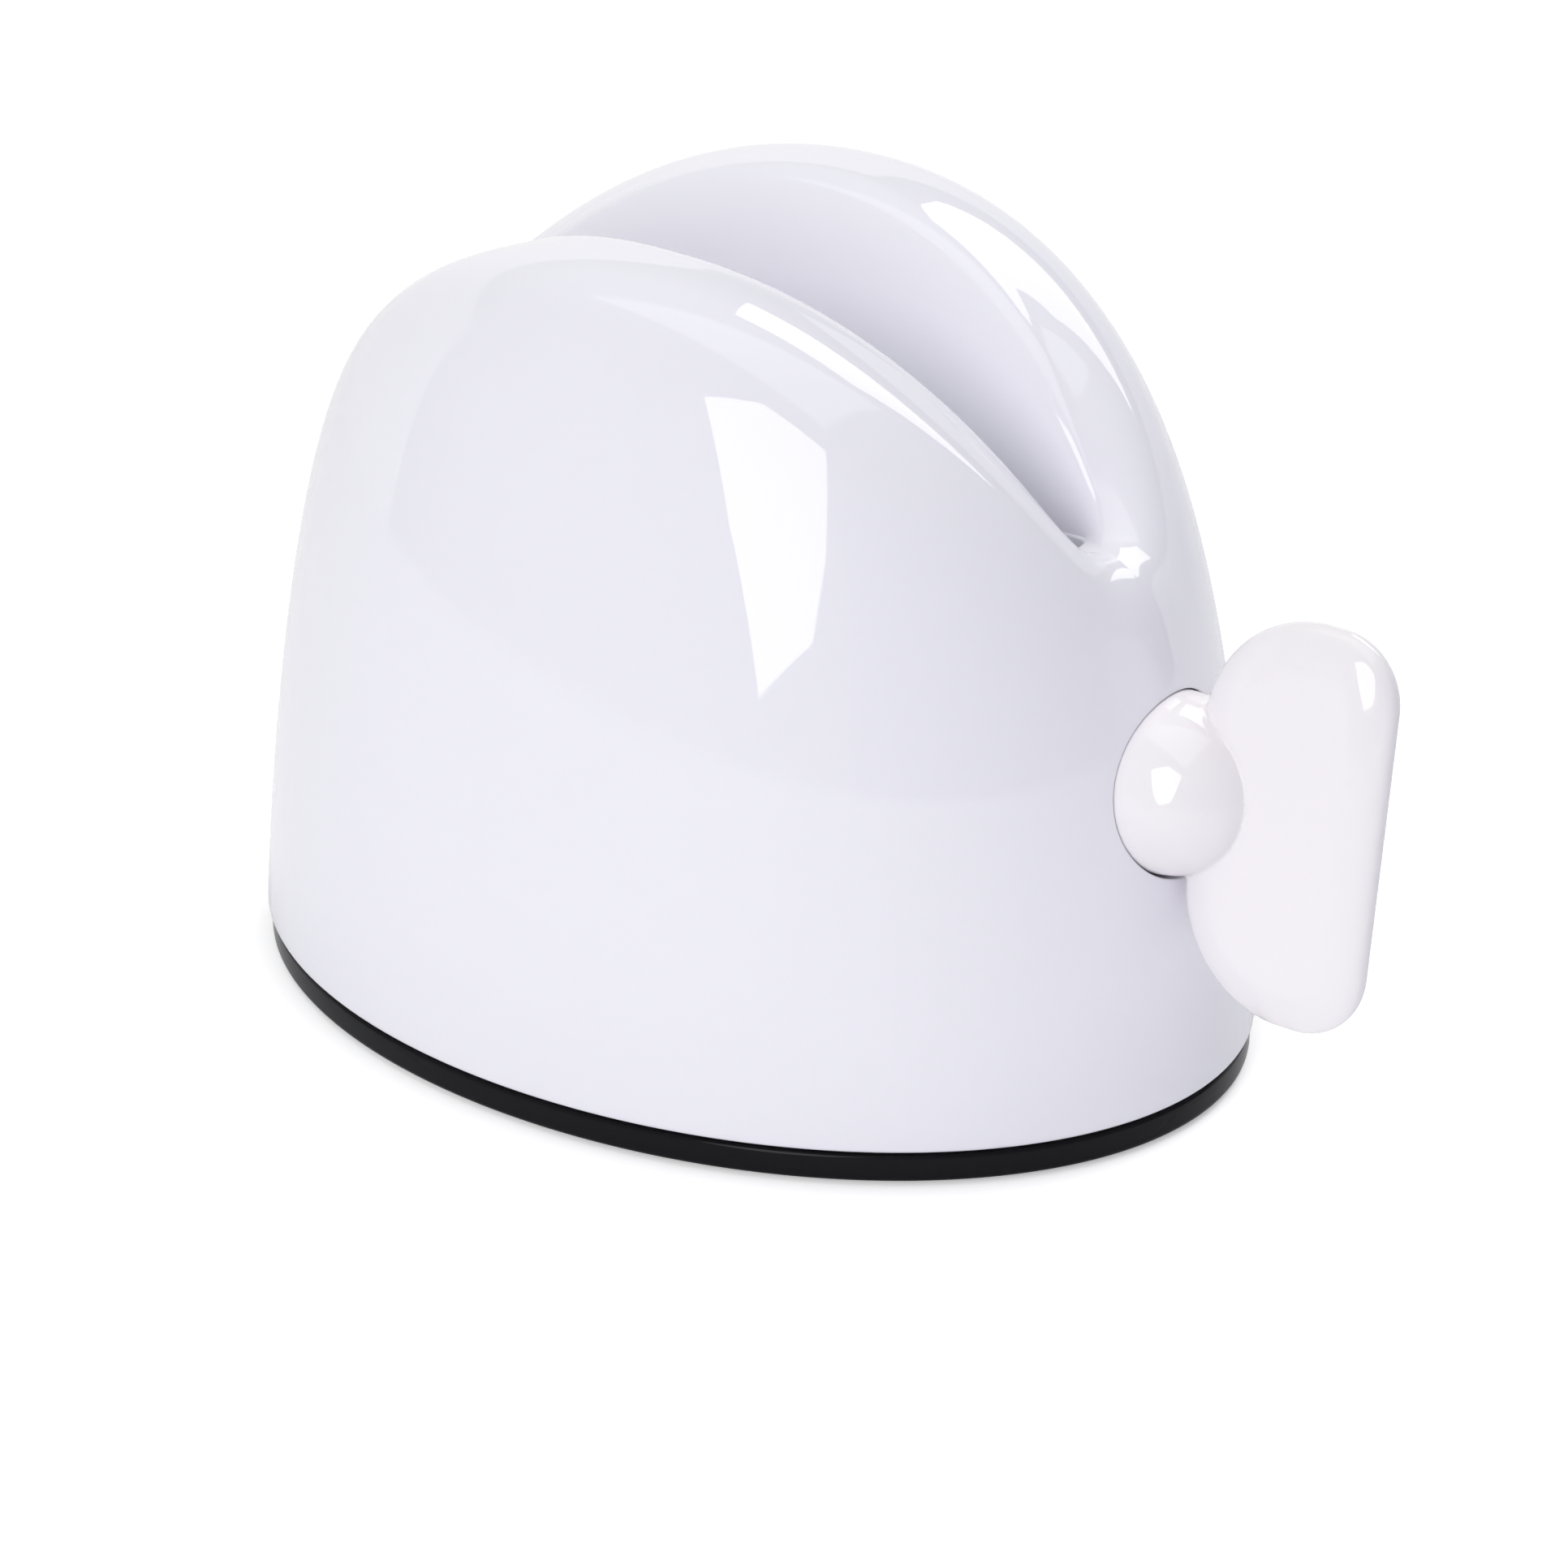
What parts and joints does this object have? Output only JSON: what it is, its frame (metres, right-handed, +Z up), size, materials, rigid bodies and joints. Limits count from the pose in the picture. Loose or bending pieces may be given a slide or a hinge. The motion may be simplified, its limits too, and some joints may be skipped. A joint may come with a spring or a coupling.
{
  "type": "toothpaste dispenser",
  "caption": "Domed table stand with a slot between two crests: a key in its end wall turns a split rod that winds up a toothpaste tube.",
  "frame": {"origin": "middle of the underside, on the table", "axes": "+X along the winding axis towards the key, +Z up"},
  "size_m": [0.0923, 0.0576, 0.0595],
  "materials": {
    "shell_white": "high gloss moulded white, slightly cool",
    "key_white": "gloss moulded white, slightly warm",
    "rod_white": "plain moulded white",
    "base_black": "gloss moulded black",
    "pad_black": "matt soft pad",
    "ring_black": "greased rubber",
    "screw_steel": "bright zinc plate"
  },
  "bodies": {
    "housing": {"body_shell": "shell_white", "base_plate": "base_black", "grip_pad": "pad_black", "base_screws": "screw_steel"},
    "winder": {"winding_key": "key_white", "winding_rod": "rod_white", "key_pin": "screw_steel", "retaining_clip": "screw_steel", "friction_ring": "ring_black"}
  },
  "joints": [
    {"name": "key_turn", "type": "hinge", "parent": "housing", "child": "winder", "pos_m": [0.034, 0, 0.0258], "axis": [1, 0, 0], "continuous": true}
  ]
}
